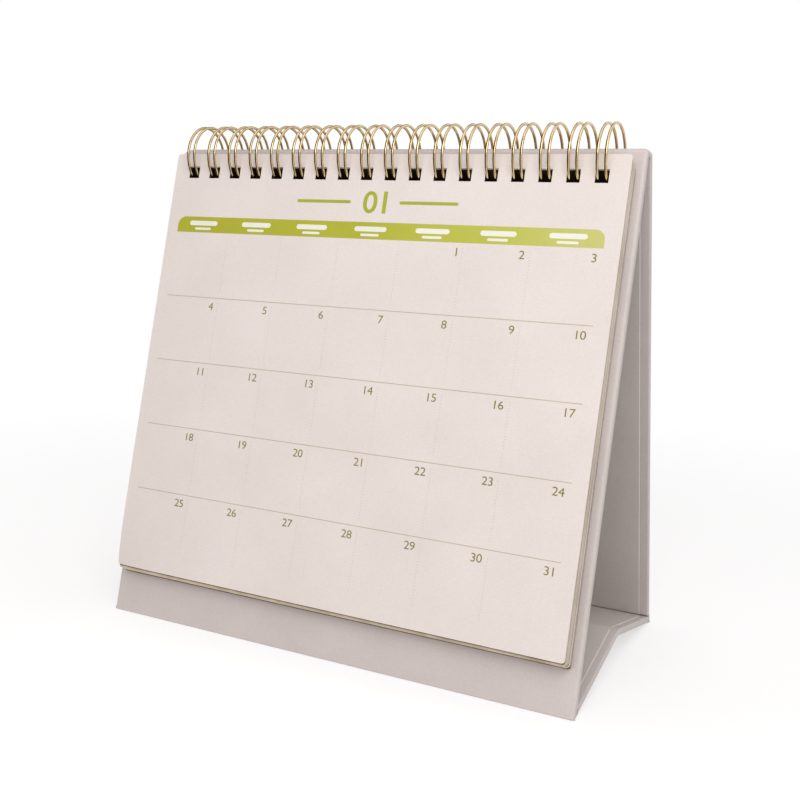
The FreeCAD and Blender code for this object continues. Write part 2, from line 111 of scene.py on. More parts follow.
# Leaves behind the one on show, in groups that hang level: their number, share of the drop, and edge. A
# dark edge is painted shade: on its rims and its bottom strip it stands for the shadowed gaps between
# leaves.
LEAF_GROUPS = (
    (1, 0.0, "pale"),
    (1, 0.17, "dark"),
    (6, 0.5, "plain"),
    (1, 0.6, "dark"),
    (2, 0.78, "pale"),
    (1, 0.88, "dark"),
)

# Print on the leaf, from its left and bottom edges.
BAND_LEFT = 4.3 * MM
BAND_BOTTOM = 115.7 * MM
BAND_HEIGHT = 5.4 * MM
BAND_CORNER = 3.0 * MM
BAND_CORNER_STEPS = 10
BAND_STEPS = 40
COLUMN_WIDTH = 21.56 * MM
ROW_HEIGHT = 22.2 * MM
COLUMNS = 7
BAND_WIDTH = COLUMNS * COLUMN_WIDTH
ROWS = 5
FIRST_COLUMN = 4
DAYS = 31
INK = 0.015 * MM
LINE_WIDTH = 0.2 * MM
DOT_SIZE = 0.2 * MM
DOT_PITCH = 0.9 * MM
DOT_MARGIN = 1.6 * MM
BAR_STEP = 4 * MM
PILL_STEPS = 8
NUMBER_HEIGHT = 2.5 * MM
NUMBER_DROP = 1.6 * MM
NUMBER_INSET = 1.7 * MM
NUMERAL_STRETCH = 1.1
NUMERAL_SPACING = 0.95
TITLE_STROKE = 0.014
TITLE_HEIGHT = 7.2 * MM
TITLE_BASE = 123.9 * MM
TITLE_RULE = (20.0 * MM, 1.0 * MM)
TITLE_GAP = 4.5 * MM

# Plain bars on the band: length, height and distance above its bottom edge.
NAME_BAR = (11.5 * MM, 1.6 * MM, 2.4 * MM)
SMALL_BAR = (6.6 * MM, 0.8 * MM, 0.9 * MM)

# Floor: its reach, its colour as it lights the calendar and as it is seen, the distances at which its
# fade to white starts and ends, and the share of white there.
FLOOR_REACH = 6.0
FLOOR_LIGHT = (0.8, 0.8, 0.8, 1)
FLOOR_SEEN = (1.2, 1.2, 1.2, 1)
FLOOR_FADE = (0.12, 0.45, 0.6, 1.0)

# Dark surround: distances of the table's near edge and of the wall, the wall's height, its number of
# parts, and where it starts and ends as an angle from straight in front towards the left.
SURROUND_NEAR = 0.12
SURROUND_FAR = 0.5
SURROUND_HEIGHT = 0.8
SURROUND_STEPS = 12
SURROUND_START = math.radians(-18)
SURROUND_END = math.radians(170)
SURROUND_COLOUR = (0.02, 0.017, 0.014, 1)

# Light: the background's colour and strength, and the lamps' name, place, aim, size, power, colour and
# whether they show in reflections.
SKY = ((1.0, 0.963, 0.957, 1), 0.55)
LAMPS = (
    ("key", (0.24, -0.34, 0.4), (0.03, 0, 0.13), 0.3, 0.9, (1, 1, 1), True),
    ("front", (-0.05, -0.9, 0.5), (0, 0, 0.08), 0.5, 1.4, (1.0, 0.97, 0.96), False),
    ("top", (0.1, -0.1, 1.0), (0, 0, 0.08), 0.8, 1.0, (1, 1, 1), True),
)

# Camera: its place to the front right, the angles at which it looks and is tilted, and its lens.
CAMERA_PLACE = (0.1605, -0.30909, 0.13731)
CAMERA_AZIMUTH = math.radians(26.76)
CAMERA_ELEVATION = math.radians(9.942)
CAMERA_ROLL = math.radians(1.63)
CAMERA_SENSOR = 36
CAMERA_LENS = 47.54
CAMERA_CLIP = 0.01


def span(node, place=None):
    """Lowest and highest corner of a CAD node, seen in the frame of a place."""
    inverse = place.inverted() if place else Matrix.Identity(4)
    points = [inverse @ vertex.co for vertex in frame["nodes"][node].data.vertices]
    return (
        Vector([min(point[axis] for point in points) for axis in range(3)]),
        Vector([max(point[axis] for point in points) for axis in range(3)]),
    )


def sloping(foot_y, slope):
    """Frame of a sloping board: X along its width, Y up its slope, Z square to it."""
    return Matrix.Translation((0, foot_y, 0)) @ Matrix.Rotation(slope, 4, "X")


STAND_LOW, STAND_HIGH = span("cover_wrap")
FRONT = sloping(STAND_LOW.y, math.pi / 2 - LEAN)
BACK = sloping(STAND_HIGH.y, math.pi / 2 + LEAN)
MIDDLE_Y = (STAND_LOW.y + STAND_HIGH.y) / 2
HALF_DEPTH = (STAND_HIGH.y - STAND_LOW.y) / 2
HALF_WIDTH = STAND_HIGH.x
BASE_REACH = HALF_DEPTH - FOOT_FLAT
BASE_SLOPE = math.atan2(CREASE_HEIGHT, BASE_REACH)
BASE_FRONT = sloping(MIDDLE_Y - BASE_REACH, BASE_SLOPE)
BASE_REAR = sloping(MIDDLE_Y + BASE_REACH, math.pi - BASE_SLOPE)
PANEL_LENGTH = (HALF_DEPTH - RIDGE_WIDTH / 2) / math.sin(LEAN)
PANEL_DEPTH = BOARD_DEPTH + PAPER
LINED_DEPTH = -span("front_lining", FRONT)[0].z

LOOP_CENTRE = Vector(frame["joints"][0]["pos_m"])
LOOP_RADIUS = span("binding_wire")[1].z - LOOP_CENTRE.z - WIRE_RADIUS
LOOP_PLACES = [(index - (LOOP_COUNT - 1) / 2) * LOOP_PITCH for index in range(LOOP_COUNT)]


def hole_height(place, depth):
    """Height up a panel at which the loops pass a given depth of it."""
    centre = place.inverted() @ LOOP_CENTRE
    return centre.y - math.sqrt(LOOP_RADIUS**2 - (centre.z - depth) ** 2)


FRONT_HOLES = hole_height(FRONT, -LINED_DEPTH / 2)
BACK_HOLES = hole_height(BACK, LINED_DEPTH / 2)
LEAF_LOW, LEAF_HIGH = span("front_leaf", FRONT)
LEAF_WIDTH = LEAF_HIGH.x - LEAF_LOW.x
LEAF_LENGTH = LEAF_HIGH.y - LEAF_LOW.y
LEAF_DROP = LEAF_LOW.y - span("back_leaf", FRONT)[0].y
LEAF_HOLES = hole_height(FRONT, LEAF_HIGH.z) + HOLE_LIFT - LEAF_LOW.y


# ---------------------------------------------------------------- meshes

# Faces of a box whose corners are listed by Z, then Y, then X.
BOX_FACES = ((0, 1, 3, 2), (4, 6, 7, 5), (0, 4, 5, 1), (2, 3, 7, 6), (0, 2, 6, 4), (1, 5, 7, 3))


def make_object(name, vertices, faces, materials, smooth=True):
    """Mesh object from plain vertices and faces."""
    mesh = bpy.data.meshes.new(name)
    mesh.from_pydata([tuple(vertex) for vertex in vertices], [], faces)
    for material in materials:
        mesh.materials.append(material)
    mesh.update()
    piece = bpy.data.objects.new(name, mesh)
    bpy.context.scene.collection.objects.link(piece)
    if smooth:
        mesh.shade_smooth()
    return piece


def grid_faces(rows, columns, closed=False, skip=()):
    """Quads of a grid of points stored row by row; skip holds the (row, column) cells left open."""
    faces = []
    for row in range(rows if closed else rows - 1):
        following = (row + 1) % rows
        for column in range(columns - 1):
            if (row, column) in skip:
                continue
            first, second = row * columns + column, following * columns + column
            faces.append((first, first + 1, second + 1, second))
    return faces


def add_thickness(piece, thickness, rim=None):
    """Give a sheet its thickness behind its face; rim is how far on its rims' materials are listed."""
    solid = piece.modifiers.new("thickness", "SOLIDIFY")
    solid.thickness = thickness
    solid.offset = -1.0
    if rim is not None:
        solid.material_offset_rim = rim


def smooth_by_angle(piece, degrees):
    """Smooth shading that keeps edges sharper than the angle."""
    mesh = piece.data
    shape = bmesh.new()
    shape.from_mesh(mesh)
    limit = math.radians(degrees)
    for edge in shape.edges:
        edge.smooth = not (len(edge.link_faces) == 2 and edge.calc_face_angle() > limit)
    for face in shape.faces:
        face.smooth = True
    shape.to_mesh(mesh)
    shape.free()


def settle(piece, body, slot, *nodes):
    """Let a piece ride on its body and stand for its CAD nodes; its slot is not used."""
    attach(piece, body)
    if nodes:
        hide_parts(*nodes)


# ---------------------------------------------------------------- materials


def tone(red, green, blue):
    """Linear colour of a screen colour from 0 to 255."""
    values = []
    for channel in (red, green, blue):
        share = channel / 255
        values.append(share / 12.92 if share <= 0.04045 else ((share + 0.055) / 1.055) ** 2.4)
    return (*values, 1.0)


class Shader:
    """Small helper that builds one node material."""

    def __init__(self, name, roughness=0.6, metallic=0.0, specular=0.4):
        self.material = bpy.data.materials.new(name)
        self.material.use_nodes = True
        self.tree = self.material.node_tree
        self.surface = self.tree.nodes["Principled BSDF"]
        self.surface.inputs["Roughness"].default_value = roughness
        self.surface.inputs["Metallic"].default_value = metallic
        self.surface.inputs["Specular IOR Level"].default_value = specular
        self.place = self.tree.nodes.new("ShaderNodeTexCoord").outputs["Object"]

    def node(self, kind, **values):
        """New node with some of its settings."""
        made = self.tree.nodes.new(kind)
        for key, value in values.items():
            setattr(made, key, value)
        return made

    def link(self, source, target):
        """Link from one socket to another."""
        self.tree.links.new(source, target)

    def noise(self, scale, detail=3.0, stretch=(1, 1, 1), roughness=0.55):
        """Noise over the object's own metres, stretched along its axes."""
        mapping = self.node("ShaderNodeMapping")
        mapping.inputs["Scale"].default_value = stretch
        self.link(self.place, mapping.inputs["Vector"])
        noise = self.node("ShaderNodeTexNoise")
        noise.inputs["Scale"].default_value = scale
        noise.inputs["Detail"].default_value = detail
        noise.inputs["Roughness"].default_value = roughness
        self.link(mapping.outputs["Vector"], noise.inputs["Vector"])
        return noise.outputs["Fac"]

    def ramp(self, source, stops):
        """Colour ramp with the given (position, colour) stops."""
        ramp = self.node("ShaderNodeValToRGB")
        elements = ramp.color_ramp.elements
        elements[0].position, elements[0].color = stops[0]
        elements[1].position, elements[1].color = stops[-1]
        for position, colour in stops[1:-1]:
            elements.new(position).color = colour
        self.link(source, ramp.inputs["Fac"])
        return ramp.outputs["Color"]

    def mix(self, factor, first, second, blend="MIX"):
        """Mix of two colours, each a socket or a plain colour."""
        mixer = self.node("ShaderNodeMix", data_type="RGBA", blend_type=blend)
        for value, index in ((factor, 0), (first, 6), (second, 7)):
            socket = mixer.inputs[index]
            if isinstance(value, bpy.types.NodeSocket):
                self.link(value, socket)
            else:
                socket.default_value = value
        return mixer.outputs[2]

    def colour(self, source):
        """Let a socket give the surface its colour."""
        self.link(source, self.surface.inputs["Base Color"])

    def bump(self, source, strength, distance, before=None):
        """Bump from a height, on top of an earlier bump."""
        bump = self.node("ShaderNodeBump")
        bump.inputs["Strength"].default_value = strength
        bump.inputs["Distance"].default_value = distance
        self.link(source, bump.inputs["Height"])
        if before is not None:
            self.link(before, bump.inputs["Normal"])
        self.link(bump.outputs["Normal"], self.surface.inputs["Normal"])
        return bump.outputs["Normal"]


def paper_material(name, light, dark, roughness, grain=1400, strength=0.12):
    """Paper: slight cloudiness in its colour and a fine grain."""
    shader = Shader(name, roughness, specular=0.35)
    clouds = shader.noise(38, detail=4)
    fibres = shader.noise(grain, detail=5, roughness=0.7)
    base = shader.ramp(clouds, [(0.3, tone(*dark)), (0.7, tone(*light))])
    flecks = shader.ramp(fibres, [(0.35, (0.94, 0.935, 0.93, 1)), (0.62, (1, 1, 1, 1))])
    shader.colour(shader.mix(1.0, base, flecks, "MULTIPLY"))
    coarse = shader.bump(shader.noise(160, detail=3), 0.25, 0.05 * MM)
    shader.bump(fibres, strength, 0.05 * MM, coarse)
    return shader.material


def edge_material(name, dark, middle, light):
    """Cut edge of a card leaf: streaks that run along the leaf."""
    shader = Shader(name, 0.8, specular=0.2)
    streaks = shader.noise(420, detail=4, stretch=(0.35, 0.12, 0.12))
    clouds = shader.noise(55, detail=3)
    stops = [(0.3, tone(*dark)), (0.52, tone(*middle)), (0.72, tone(*light))]
    shades = shader.ramp(streaks, stops)
    soft = shader.ramp(clouds, [(0.3, (0.93, 0.92, 0.9, 1)), (0.65, (1, 1, 1, 1))])
    shader.colour(shader.mix(1.0, shades, soft, "MULTIPLY"))
    shader.bump(shader.noise(2200, detail=3), 0.3, 0.04 * MM)
    return shader.material


def board_material(name):
    """Grey board: pressed fibres in mixed greys."""
    shader = Shader(name, 0.9, specular=0.15)
    fibres = shader.noise(700, detail=6, stretch=(1, 0.4, 0.4), roughness=0.7)
    stops = [(0.28, tone(62, 55, 48)), (0.5, tone(84, 76, 68)), (0.75, tone(108, 100, 91))]
    shader.colour(shader.ramp(fibres, stops))
    shader.bump(fibres, 0.5, 0.1 * MM)
    return shader.material


def wire_material(name):
    """Coated wire with a champagne gold finish."""
    shader = Shader(name, 0.2, metallic=1.0, specular=0.5)
    clouds = shader.noise(240, detail=3)
    shader.colour(shader.ramp(clouds, [(0.3, tone(196, 168, 118)), (0.7, tone(226, 202, 154))]))
    rough = shader.node("ShaderNodeMapRange")
    rough.inputs["To Min"].default_value = 0.12
    rough.inputs["To Max"].default_value = 0.24
    shader.link(shader.noise(900, detail=3), rough.inputs["Value"])
    shader.link(rough.outputs["Result"], shader.surface.inputs["Roughness"])
    shader.bump(shader.noise(1500, detail=3), 0.08, 0.03 * MM)
    return shader.material


def ink_material(name, light, dark, roughness):
    """Printed ink: even, with slight unevenness where it soaks in."""
    shader = Shader(name, roughness, specular=0.4)
    clouds = shader.noise(90, detail=5)
    shader.colour(shader.ramp(clouds, [(0.3, tone(*dark)), (0.7, tone(*light))]))
    shader.bump(shader.noise(1400, detail=4), 0.1, 0.03 * MM)
    return shader.material


def band_material(name):
    """Yellow green print with a painted sheen: it is painted paler towards its right end."""
    shader = Shader(name, 0.35, specular=0.4)
    split = shader.node("ShaderNodeSeparateXYZ")
    shader.link(shader.place, split.inputs[0])
    reach = shader.node("ShaderNodeMapRange")
    reach.inputs["From Min"].default_value = -BAND_WIDTH / 2
    reach.inputs["From Max"].default_value = BAND_WIDTH / 2
    shader.link(split.outputs["X"], reach.inputs["Value"])
    # Painted sheen: the colour pales towards the band's right end.
    stops = [
        (0.0, tone(180, 181, 56)),
        (0.5, tone(184, 186, 62)),
        (0.8, tone(196, 198, 88)),
        (1.0, tone(206, 206, 124)),
    ]
    fade = shader.ramp(reach.outputs["Result"], stops)
    mottle = [(0.3, (0.95, 0.95, 0.93, 1)), (0.7, (1, 1, 1, 1))]
    clouds = shader.ramp(shader.noise(90, detail=5), mottle)
    shader.colour(shader.mix(1.0, fade, clouds, "MULTIPLY"))
    shader.bump(shader.noise(1400, detail=4), 0.1, 0.03 * MM)
    return shader.material


WRAP_PAPER = paper_material("wrap paper", (218, 209, 206), (210, 201, 198), 0.5)
LINING_PAPER = paper_material("lining paper", (214, 206, 201), (206, 198, 193), 0.6)
LEAF_CARD = paper_material("leaf card", (236, 227, 222), (231, 221, 216), 0.55, grain=1800, strength=0.07)
LEAF_EDGES = {
    "plain": edge_material("leaf edge", (192, 177, 153), (214, 201, 179), (228, 217, 198)),
    "pale": edge_material("pale leaf edge", (232, 222, 205), (243, 235, 221), (248, 242, 231)),
    # Painted shade: dark edges stand for the shadowed gaps between leaves.
    "dark": edge_material("painted shade leaf edge", (104, 86, 60), (130, 112, 84), (156, 139, 110)),
}
# Painted shade: very dark brown on the hole walls of every leaf and round the holes of the leaves behind,
# where the holes lie in shade.
PAINTED_HOLE_SHADE = edge_material("painted hole shade", (24, 17, 12), (44, 33, 24), (70, 56, 42))
CUT_PAPER = paper_material("cut paper edge", (250, 246, 241), (240, 235, 229), 0.7)
GREY_BOARD = board_material("grey board")
GOLD_WIRE = wire_material("gold wire")
BAND_INK_PAINTED_SHEEN = band_material("band ink with painted sheen")
NUMBER_INK = ink_material("number ink", (144, 134, 64), (130, 120, 52), 0.5)
LINE_INK = ink_material("line ink", (190, 176, 148), (180, 166, 138), 0.5)
TITLE_INK = ink_material("title ink", (176, 182, 58), (168, 174, 48), 0.45)
BAR_INK = ink_material("bar ink", (244, 242, 230), (238, 236, 222), 0.5)


# ---------------------------------------------------------------- stand


def stand_outline():
    """Straight runs of the stand seen from its side, each as (start, end), from the front foot on."""
    shoulder = MIDDLE_Y - RIDGE_WIDTH / 2, MIDDLE_Y + RIDGE_WIDTH / 2
    height = PANEL_LENGTH * math.cos(LEAN)
    return {
        "front": (Vector((STAND_LOW.y, 0)), Vector((shoulder[0], height))),
        "back": (Vector((shoulder[1], height)), Vector((STAND_HIGH.y, 0))),
        "rear_flat": (Vector((STAND_HIGH.y, 0)), Vector((MIDDLE_Y + BASE_REACH, 0))),
        "base_rear": (Vector((MIDDLE_Y + BASE_REACH, 0)), Vector((MIDDLE_Y, CREASE_HEIGHT))),
        "base_front": (Vector((MIDDLE_Y, CREASE_HEIGHT)), Vector((MIDDLE_Y - BASE_REACH, 0))),
        "front_flat": (Vector((MIDDLE_Y - BASE_REACH, 0)), Vector((STAND_LOW.y, 0))),
    }


def inward(tangent):
    """Direction into the stand, to the right of the outline's direction."""
    return Vector((tangent.y, -tangent.x))


class Station(NamedTuple):
    """One section through the covering paper: its outer face, the way inwards and its turned-over end."""

    point: Vector
    into: Vector
    depth: float
    border: float = BORDER
    rounding: tuple = OUTER_ROUNDING


def heel_arc(point, before, after):
    """Stations round a heel of the stand, between the directions of the runs before and after it."""
    turn = before.angle(after)
    start = point - before * HEEL_RADIUS * math.tan(turn / 2)
    centre = start + inward(before) * HEEL_RADIUS
    stations = []
    for step in range(HEEL_STEPS + 1):
        outwards = Matrix.Rotation(-turn * step / HEEL_STEPS, 2) @ -inward(before)
        stations.append(Station(centre + outwards * HEEL_RADIUS, -outwards, HINGE_DEPTH))
    return stations


def run_stations(line, levels, end_margin=0.0, border=BORDER):
    """Stations along a straight run, at (distance, depth) levels, with none in the margin at its end."""
    start, end = line
    along = (end - start).normalized()
    length = (end - start).length
    return [
        Station(start + along * distance, inward(along), depth, border)
        for distance, depth in levels
        if distance <= length - end_margin
    ]


def ridge_stations(top):
    """Stations over the domed ridge, whose ends are rounded most at its crown."""
    half = RIDGE_WIDTH / 2
    radius = (half**2 + RIDGE_RISE**2) / (2 * RIDGE_RISE)
    centre = Vector((MIDDLE_Y, top + RIDGE_RISE - radius))
    sweep = math.asin(half / radius)
    stations = []
    for step in range(RIDGE_STEPS + 1):
        share = step / RIDGE_STEPS
        angle = sweep * (2 * share - 1)
        outwards = Vector((math.sin(angle), math.cos(angle)))
        crown = math.sin(math.pi * share)
        ends = zip(OUTER_ROUNDING, RIDGE_ROUNDING)
        rounding = tuple(low + (high - low) * crown for low, high in ends)
        point = centre + outwards * radius
        stations.append(Station(point, -outwards, PANEL_DEPTH, BORDER, rounding))
    return stations


def edge_levels(start):
    """(distance, depth) pairs up the rounded end of a board, from the hinge of paper beside it."""
    levels = []
    for step in range(EDGE_STEPS + 1):
        share = step / EDGE_STEPS
        depth = HINGE_DEPTH + (PANEL_DEPTH - HINGE_DEPTH) * math.sqrt(1 - (1 - share) ** 2)
        levels.append((start + DIP_LENGTH * share, depth))
    levels.append((start + DIP_LENGTH + FLAT_START, PANEL_DEPTH))
    return levels


def crease_levels(board_end, length):
    """(distance, depth) pairs down the shallow saddle between a base board's end and the crease."""
    levels = []
    for step in range(CREASE_STEPS):
        dip = CREASE_DIP * (1 - math.cos(math.pi * step / CREASE_STEPS)) / 2
        distance = board_end + (length - board_end) * step / CREASE_STEPS
        levels.append((distance, PANEL_DEPTH - dip))
    return levels


def turned(levels, length):
    """The same levels measured from the other end of a run."""
    return [(length - distance, depth) for distance, depth in reversed(levels)]


def upright_levels(start, holes):
    """Levels up an upright panel, from its foot to the ridge."""
    flat = [PANEL_LENGTH * share for share in (0.25, 0.5, 0.75)]
    flat += [holes - HOLE / 2, holes + HOLE / 2]
    return edge_levels(start) + [(distance, PANEL_DEPTH) for distance in flat]


def base_levels(node, place, length):
    """Levels along one half of the base, from its heel to just before the crease."""
    low, high = span(node, place)
    middle = [(length / 2, PANEL_DEPTH)]
    return edge_levels(low.y - PAPER) + middle + crease_levels(high.y + PAPER, length)


def cover_stations():
    """Stations once round the stand: front panel, ridge, back panel and base."""
    lines = stand_outline()
    along = {name: (end - start).normalized() for name, (start, end) in lines.items()}
    heel = HEEL_RADIUS * math.tan(along["front_flat"].angle(along["front"]) / 2)
    front_start = max(span("front_board", FRONT)[0].y - PAPER, heel + HEEL_CLEARANCE)
    back_start = span("back_board", BACK)[0].y - PAPER
    base_length = (lines["base_rear"][1] - lines["base_rear"][0]).length
    stations = heel_arc(lines["front"][0], along["front_flat"], along["front"])
    stations += run_stations(lines["front"], upright_levels(front_start, FRONT_HOLES))
    stations += ridge_stations(lines["front"][1].y)
    levels = turned(upright_levels(back_start, BACK_HOLES), PANEL_LENGTH)
    stations += run_stations(lines["back"], levels, heel)
    stations += heel_arc(lines["back"][1], along["back"], along["rear_flat"])
    levels = base_levels("base_rear_board", BASE_REAR, base_length)
    stations += run_stations(lines["base_rear"], levels, border=BASE_BORDER)
    crease_depth = (PANEL_DEPTH - CREASE_DIP) / math.cos(BASE_SLOPE)
    crease = Vector((MIDDLE_Y, CREASE_HEIGHT))
    stations.append(Station(crease, Vector((0, 1)), crease_depth, BASE_BORDER))
    levels = turned(base_levels("base_front_board", BASE_FRONT, base_length), base_length)
    stations += run_stations(lines["base_front"], levels, border=BASE_BORDER)
    return stations


def border_profile(station):
    """(inset from the end, depth) points from the turned-over paper's edge round to the outer face."""
    depth, border, outer = station.depth, station.border, station.rounding
    inner = [min(size, INNER_SHARE * depth) for size in INNER_ROUNDING]
    outer = (outer[0], min(outer[1], depth - inner[1]))
    profile = [(border, depth), (inner[0] + FLAT_START, depth)]
    for step in range(INNER_STEPS + 1):
        angle = math.pi / 2 * step / INNER_STEPS
        profile.append((inner[0] * (1 - math.sin(angle)), depth - inner[1] * (1 - math.cos(angle))))
    for step in range(OUTER_STEPS + 1):
        angle = math.pi / 2 * step / OUTER_STEPS
        profile.append((outer[0] * (1 - math.cos(angle)), outer[1] * (1 - math.sin(angle))))
    profile.append((outer[0] + FLAT_START, 0.0))
    return profile


def add_cut_edges():
    """Pale cut edges of the lining sheets, in the plane of the turned-in paper."""
    bars = (
        (FRONT, "front_lining", -1, BORDER),
        (BACK, "back_lining", 1, BORDER),
        (BASE_FRONT, "base_lining", 1, BASE_BORDER),
        (BASE_REAR, "base_lining", -1, BASE_BORDER),
    )
    width, height = CUT_EDGE
    points, faces = [], []
    crease = BASE_REACH / math.cos(BASE_SLOPE)
    for place, node, inner_side, border in bars:
        low, high = span(node, place)
        ends = (low.y, high.y)
        if node == "base_lining":
            ends = (max(low.y, 2 * BORDER), min(high.y, crease))
        levels = [inner_side * PANEL_DEPTH, inner_side * (PANEL_DEPTH + height)]
        for side in (-1, 1):
            sides = [side * (HALF_WIDTH - border), side * (HALF_WIDTH - border + width)]
            first = len(points)
            points += [place @ Vector((x, y, z)) for z in levels for y in ends for x in sides]
            faces += [tuple(first + index for index in face) for face in BOX_FACES]
    edges = make_object("lining_cut_edges", points, faces, [CUT_PAPER], smooth=False)
    shape = bmesh.new()
    shape.from_mesh(edges.data)
    bmesh.ops.recalc_face_normals(shape, faces=shape.faces)
    shape.to_mesh(edges.data)
    shape.free()
    settle(edges, "stand", "lining_paper")


def hole_edges():
    """X of both sides of every binding hole, from left to right."""
    return [place + side * HOLE / 2 for place in LOOP_PLACES for side in (-1, 1)]


def add_cover():
    """Covering paper, wrapped round the boards' ends and folded at heels, ridge and crease."""
    stations = cover_stations()
    points = []
    middle = [(x, 0.0) for x in hole_edges()]
    for station in stations:
        profile = border_profile(station)
        left = [(-HALF_WIDTH + inset, deep) for inset, deep in profile]
        right = [(HALF_WIDTH - inset, deep) for inset, deep in reversed(profile)]
        for x, deep in left + middle + right:
            place = station.point + station.into * deep
            points.append((x, place.x, place.y))
    columns = len(points) // len(stations)
    first_hole = len(profile)
    open_cells = set()
    for place, height in ((FRONT, FRONT_HOLES), (BACK, BACK_HOLES)):
        start = height - HOLE / 2 if place is FRONT else height + HOLE / 2
        for row, station in enumerate(stations):
            local = place.inverted() @ Vector((0, *station.point))
            if abs(local.z) < TOLERANCE and abs(local.y - start) < TOLERANCE:
                open_cells |= {(row, first_hole + 2 * index) for index in range(LOOP_COUNT)}
    faces = grid_faces(len(stations), columns, closed=True, skip=open_cells)
    cover = make_object("cover_paper", points, faces, [WRAP_PAPER])
    smooth_by_angle(cover, 40)
    add_thickness(cover, PAPER)
    normals = cover.modifiers.new("flat faces", "WEIGHTED_NORMAL")
    normals.keep_sharp = True
    settle(cover, "stand", "wrap_paper", "cover_wrap")


# ---------------------------------------------------------------- leaves


# Materials of a leaf's sheet stand in pairs, of a face and of its rim: plain, beside holes, bottom strip.
# The rims beside the holes always carry painted shade.
BESIDE_HOLES = 2
BOTTOM_STRIP = 4


def sheet_mesh(name, edge, strip, beside=LEAF_CARD, lift=0.0):
    """Flat leaf in the XY plane with rounded corners and square holes; Y starts at its bottom edge.

    It takes the materials of its rim, of its bottom strip and of what is beside its holes, and how much
    higher than on the leaf on show the holes are.
    """
    sides = hole_edges()
    holes = (LEAF_HOLES + lift - HOLE / 2, LEAF_HOLES + lift + HOLE / 2)
    margin = HOLE / 4
    reach = sides[-1] + margin
    across = [-LEAF_WIDTH / 2, sides[0] - margin, *sides, reach, LEAF_WIDTH / 2]
    below, above = holes[0] - margin, holes[1] + margin
    plain = below - EDGE_STRIP
    up = [0.0, *(EDGE_STRIP + plain * row / LEAF_ROWS for row in range(LEAF_ROWS + 1))]
    hole_row = len(up)
    up += [*holes, above, LEAF_LENGTH]
    points = [(x, y, 0) for y in up for x in across]
    skip = {(hole_row, 2 + 2 * index) for index in range(LOOP_COUNT)}
    mesh = bpy.data.meshes.new(name)
    mesh.from_pydata(points, [], grid_faces(len(up), len(across), skip=skip))
    shape = bmesh.new()
    shape.from_mesh(mesh)
    shape.verts.ensure_lookup_table()
    for face in shape.faces:
        middle = face.calc_center_median()
        if below < middle.y < above and abs(middle.x) < reach:
            face.material_index = BESIDE_HOLES
        elif middle.y < EDGE_STRIP:
            face.material_index = BOTTOM_STRIP
    last = len(points) - 1
    ends = (0, len(across) - 1, last - len(across) + 1, last)
    corners = [shape.verts[index] for index in ends]
    rounding = {"offset": CORNER_RADIUS, "segments": CORNER_STEPS, "profile": 0.5}
    bmesh.ops.bevel(shape, geom=corners, affect="VERTICES", **rounding)
    bmesh.ops.recalc_face_normals(shape, faces=shape.faces)
    if sum(face.normal.z for face in shape.faces) < 0:
        bmesh.ops.reverse_faces(shape, faces=shape.faces)
    shape.to_mesh(mesh)
    shape.free()
    # The fourth material, on the hole walls, is painted shade.
    for material in (LEAF_CARD, edge, beside, PAINTED_HOLE_SHADE, strip, edge):
        mesh.materials.append(material)
    return mesh


def fan(x, y):
    """How far the front of the pad stands off at its loose bottom edge, most at the right."""
    share = max(0.0, 1 - y / LEAF_HOLES)
    across = FAN_LEFT_SHARE + (1 - FAN_LEFT_SHARE) * x / LEAF_WIDTH
    return FAN * across * share**FAN_CURVE


def bend(x, y):
    """How far the pad's worn bottom left corner is pressed back."""
    share = max(0.0, 1 - math.hypot(x, y) / BEND_REACH)
    return -BEND_DEPTH * share**BEND_CURVE


def loose_shape(x, y):
    """Where the face of the pad stands off its flat form: fanned out, and pressed back at one corner."""
    return fan(x, y) + bend(x, y)


def on_leaf(x, y, rise=0.0):
    """Place on the face of the leaf on show; X and Y run from its left and bottom edges."""
    height = LEAF_HIGH.z + loose_shape(x, y) + rise
    return FRONT @ Vector((x - LEAF_WIDTH / 2, LEAF_LOW.y + y, height))


def add_front_leaf():
    """The month's leaf on show."""
    mesh = sheet_mesh("front_leaf_sheet", LEAF_EDGES["pale"], LEAF_CARD)
    for vertex in mesh.vertices:
        vertex.co = on_leaf(vertex.co.x + LEAF_WIDTH / 2, vertex.co.y)
    leaf = bpy.data.objects.new("front_leaf_sheet", mesh)
    bpy.context.scene.collection.objects.link(leaf)
    add_thickness(leaf, LEAF_HIGH.z - LEAF_LOW.z, rim=1)
    settle(leaf, "front_leaf", "leaf_card", "front_leaf")


def loose_leaf(name, place, share, edge, beside):
    """One leaf on the loops, with its share of the pad's loose shape and its holes on the slanted row."""
    lift = LEAF_LOW.y - place.y - LEAF_DROP * (1 - share)
    # The bottom strip takes the edge's colour; a dark edge makes it a painted shade line below the leaf
    # in front.
    mesh = sheet_mesh(name, edge, edge, beside, lift)
    for vertex in mesh.vertices:
        vertex.co.z += share * loose_shape(vertex.co.x + LEAF_WIDTH / 2, vertex.co.y)
    leaf = bpy.data.objects.new(name, mesh)
    bpy.context.scene.collection.objects.link(leaf)
    leaf.matrix_world = FRONT @ Matrix.Translation(place)
    return leaf


